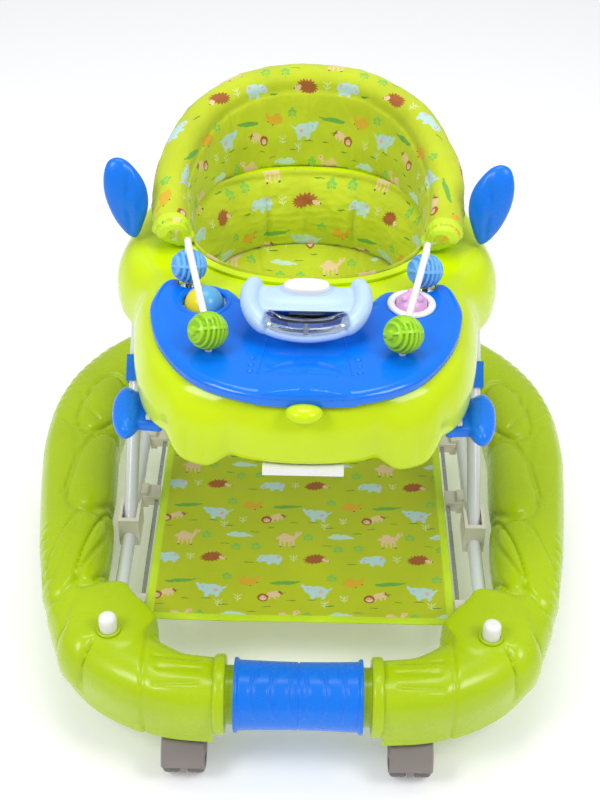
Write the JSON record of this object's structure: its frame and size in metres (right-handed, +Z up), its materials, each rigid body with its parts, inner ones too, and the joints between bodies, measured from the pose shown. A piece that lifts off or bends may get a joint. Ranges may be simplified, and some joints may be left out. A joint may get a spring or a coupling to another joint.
{
  "type": "baby walker",
  "caption": "Round baby walker with a moulded base ring on castors, folding X-leg frame, toy tray with steering wheel and bead arches, hanging fabric seat and foot mat.",
  "frame": {"origin": "middle of the footprint on the floor, at the bottom of the bounding box", "axes": "+Z up, -Y the walker's front (the toy tray and the sleeved cross bar), +X to the right seen from the front"},
  "size_m": [0.662, 0.725, 0.5565],
  "materials": {
    "lime_plastic": "gloss moulded",
    "base_lime_plastic": "gloss moulded",
    "blue_plastic": "gloss moulded",
    "pale_blue_plastic": "gloss moulded",
    "sky_blue_plastic": "gloss moulded",
    "white_plastic": "satin moulded",
    "ivory_plastic": "matte moulded",
    "grey_plastic": "matte moulded",
    "steel_tube": "white powder coat",
    "steel_pin": "plain",
    "clear_plastic": "clear",
    "rubber": "matte",
    "print_fabric": "printed woven cover",
    "mat_fabric": "printed woven mat",
    "yellow_blue_plastic": "two-colour moulded",
    "pink_plastic": "gloss moulded"
  },
  "bodies": {
    "base": {"base_shell_left": "base_lime_plastic", "base_shell_right": "base_lime_plastic", "base_pan_left": "base_lime_plastic", "base_pan_right": "base_lime_plastic", "front_bar": "base_lime_plastic", "front_sleeve": "blue_plastic", "rear_bar": "base_lime_plastic", "side_rails": "steel_tube", "rail_front_brackets": "ivory_plastic", "rail_rear_brackets": "ivory_plastic", "mat_clips": "ivory_plastic", "mat_side_rods": "steel_pin", "foot_mat": "mat_fabric"},
    "leg_inner": {"leg_inner": "steel_tube", "leg_inner_rollers": "ivory_plastic"},
    "leg_outer": {"leg_outer": "steel_tube", "cross_clamps": "blue_plastic", "leg_pins": "steel_pin"},
    "rail_sliders": {"rail_sliders": "ivory_plastic"},
    "tray": {"tray_shell": "lime_plastic", "tray_hinge_blocks": "ivory_plastic", "tray_channels": "ivory_plastic", "toy_panel": "blue_plastic", "ears": "blue_plastic", "music_box": "white_plastic", "steering_column": "pale_blue_plastic", "arch_rods": "white_plastic", "bead_feet": "clear_plastic", "dome_ring": "white_plastic", "seat_ring": "lime_plastic", "seat_back": "print_fabric", "seat_sling": "print_fabric"},
    "steering": {"steering_wheel": "pale_blue_plastic", "steering_window": "clear_plastic"},
    "horn": {"horn_button": "white_plastic"},
    "latch_l": {"latch_left": "blue_plastic"},
    "latch_r": {"latch_right": "blue_plastic"},
    "handle": {"release_handle": "white_plastic"},
    "ball": {"ball": "yellow_blue_plastic"},
    "dome": {"dome": "pink_plastic"},
    "bead_rl": {"bead_rear_left": "sky_blue_plastic"},
    "bead_rr": {"bead_rear_right": "sky_blue_plastic"},
    "bead_fl": {"bead_front_left": "lime_plastic"},
    "bead_fr": {"bead_front_right": "lime_plastic"},
    "stop_l": {"stopper_left": "white_plastic", "stopper_foot_left": "rubber"},
    "stop_r": {"stopper_right": "white_plastic", "stopper_foot_right": "rubber"},
    "front_left_swivel": {"castor_front_left_hood": "grey_plastic"},
    "front_left_wheels": {"castor_front_left_wheels": "grey_plastic"},
    "front_right_swivel": {"castor_front_right_hood": "grey_plastic"},
    "front_right_wheels": {"castor_front_right_wheels": "grey_plastic"},
    "side_left_swivel": {"castor_side_left_hood": "grey_plastic"},
    "side_left_wheels": {"castor_side_left_wheels": "grey_plastic"},
    "side_right_swivel": {"castor_side_right_hood": "grey_plastic"},
    "side_right_wheels": {"castor_side_right_wheels": "grey_plastic"},
    "rear_left_swivel": {"castor_rear_left_hood": "grey_plastic"},
    "rear_left_wheels": {"castor_rear_left_wheels": "grey_plastic"},
    "rear_right_swivel": {"castor_rear_right_hood": "grey_plastic"},
    "rear_right_wheels": {"castor_rear_right_wheels": "grey_plastic"}
  },
  "joints": [
    {"name": "fold", "type": "hinge", "parent": "base", "child": "leg_inner", "pos_m": [0, 0.199, 0.115], "axis": [1, 0, 0], "range_deg": [0, 28]},
    {"name": "cross", "type": "hinge", "parent": "leg_inner", "child": "leg_outer", "pos_m": [0, 0.071, 0.2365], "axis": [1, 0, 0], "range_deg": [-56, 0]},
    {"name": "tray_pivot", "type": "hinge", "parent": "leg_outer", "child": "tray", "pos_m": [0, 0.199, 0.358], "axis": [1, 0, 0], "range_deg": [0, 28]},
    {"name": "slider_pivot", "type": "hinge", "parent": "leg_outer", "child": "rail_sliders", "pos_m": [0, -0.057, 0.115], "axis": [1, 0, 0], "range_deg": [0, 28]},
    {"name": "steer", "type": "hinge", "parent": "tray", "child": "steering", "pos_m": [0, -0.135, 0.472], "axis": [0, -0.1045, 0.9945], "range_deg": [-30, 30]},
    {"name": "horn_press", "type": "slide", "parent": "steering", "child": "horn", "axis": [0, 0.1045, -0.9945], "range_m": [0, 0.0025], "stiffness_N_per_m": 800},
    {"name": "latch_left_squeeze", "type": "hinge", "parent": "tray", "child": "latch_l", "pos_m": [-0.158, -0.18, 0.357], "axis": [0, 0, 1], "range_deg": [-8, 0], "stiffness_Nm_per_rad": 0.6},
    {"name": "latch_right_squeeze", "type": "hinge", "parent": "tray", "child": "latch_r", "pos_m": [0.158, -0.18, 0.357], "axis": [0, 0, 1], "range_deg": [0, 8], "stiffness_Nm_per_rad": 0.6},
    {"name": "release_pull", "type": "slide", "parent": "tray", "child": "handle", "axis": [0, -1, 0], "range_m": [0, 0.006], "stiffness_N_per_m": 400},
    {"name": "ball_roll", "type": "hinge", "parent": "tray", "child": "ball", "pos_m": [-0.106, -0.09, 0.4423], "axis": [1, 0, 0], "continuous": true},
    {"name": "dome_turn", "type": "hinge", "parent": "tray", "child": "dome", "pos_m": [0.109, -0.09, 0.445], "axis": [0, 0, 1], "continuous": true},
    {"name": "bead_rear_left_spin", "type": "hinge", "parent": "tray", "child": "bead_rl", "pos_m": [-0.124, -0.052, 0.4655], "axis": [0, 0, 1], "continuous": true},
    {"name": "bead_rear_right_spin", "type": "hinge", "parent": "tray", "child": "bead_rr", "pos_m": [0.124, -0.052, 0.4655], "axis": [0, 0, 1], "continuous": true},
    {"name": "bead_front_left_slide", "type": "slide", "parent": "tray", "child": "bead_fl", "axis": [-0.2396, 0.8929, 0.3811], "range_m": [0, 0.035]},
    {"name": "bead_front_right_slide", "type": "slide", "parent": "tray", "child": "bead_fr", "axis": [0.2396, 0.8929, 0.3811], "range_m": [0, 0.035]},
    {"name": "stopper_left_push", "type": "slide", "parent": "base", "child": "stop_l", "axis": [0, 0, -1], "range_m": [0, 0.018]},
    {"name": "stopper_right_push", "type": "slide", "parent": "base", "child": "stop_r", "axis": [0, 0, -1], "range_m": [0, 0.018]},
    {"name": "castor_front_left_swivel", "type": "hinge", "parent": "base", "child": "front_left_swivel", "pos_m": [-0.122, -0.314, 0.06], "axis": [0, 0, 1], "continuous": true},
    {"name": "castor_front_left_roll", "type": "hinge", "parent": "front_left_swivel", "child": "front_left_wheels", "pos_m": [-0.122, -0.332, 0.0265], "axis": [1, 0, 0], "continuous": true},
    {"name": "castor_front_right_swivel", "type": "hinge", "parent": "base", "child": "front_right_swivel", "pos_m": [0.122, -0.314, 0.06], "axis": [0, 0, 1], "continuous": true},
    {"name": "castor_front_right_roll", "type": "hinge", "parent": "front_right_swivel", "child": "front_right_wheels", "pos_m": [0.122, -0.332, 0.0265], "axis": [1, 0, 0], "continuous": true},
    {"name": "castor_side_left_swivel", "type": "hinge", "parent": "base", "child": "side_left_swivel", "pos_m": [-0.281, 0.02, 0.06], "axis": [0, 0, 1], "continuous": true},
    {"name": "castor_side_left_roll", "type": "hinge", "parent": "side_left_swivel", "child": "side_left_wheels", "pos_m": [-0.281, 0.002, 0.0265], "axis": [1, 0, 0], "continuous": true},
    {"name": "castor_side_right_swivel", "type": "hinge", "parent": "base", "child": "side_right_swivel", "pos_m": [0.281, 0.02, 0.06], "axis": [0, 0, 1], "continuous": true},
    {"name": "castor_side_right_roll", "type": "hinge", "parent": "side_right_swivel", "child": "side_right_wheels", "pos_m": [0.281, 0.002, 0.0265], "axis": [1, 0, 0], "continuous": true},
    {"name": "castor_rear_left_swivel", "type": "hinge", "parent": "base", "child": "rear_left_swivel", "pos_m": [-0.15, 0.308, 0.06], "axis": [0, 0, 1], "continuous": true},
    {"name": "castor_rear_left_roll", "type": "hinge", "parent": "rear_left_swivel", "child": "rear_left_wheels", "pos_m": [-0.15, 0.29, 0.0265], "axis": [1, 0, 0], "continuous": true},
    {"name": "castor_rear_right_swivel", "type": "hinge", "parent": "base", "child": "rear_right_swivel", "pos_m": [0.15, 0.308, 0.06], "axis": [0, 0, 1], "continuous": true},
    {"name": "castor_rear_right_roll", "type": "hinge", "parent": "rear_right_swivel", "child": "rear_right_wheels", "pos_m": [0.15, 0.29, 0.0265], "axis": [1, 0, 0], "continuous": true}
  ],
  "couplings": [
    {"joint": "cross", "follows": "fold", "ratio": -2},
    {"joint": "tray_pivot", "follows": "fold", "ratio": 1},
    {"joint": "slider_pivot", "follows": "fold", "ratio": 1}
  ]
}
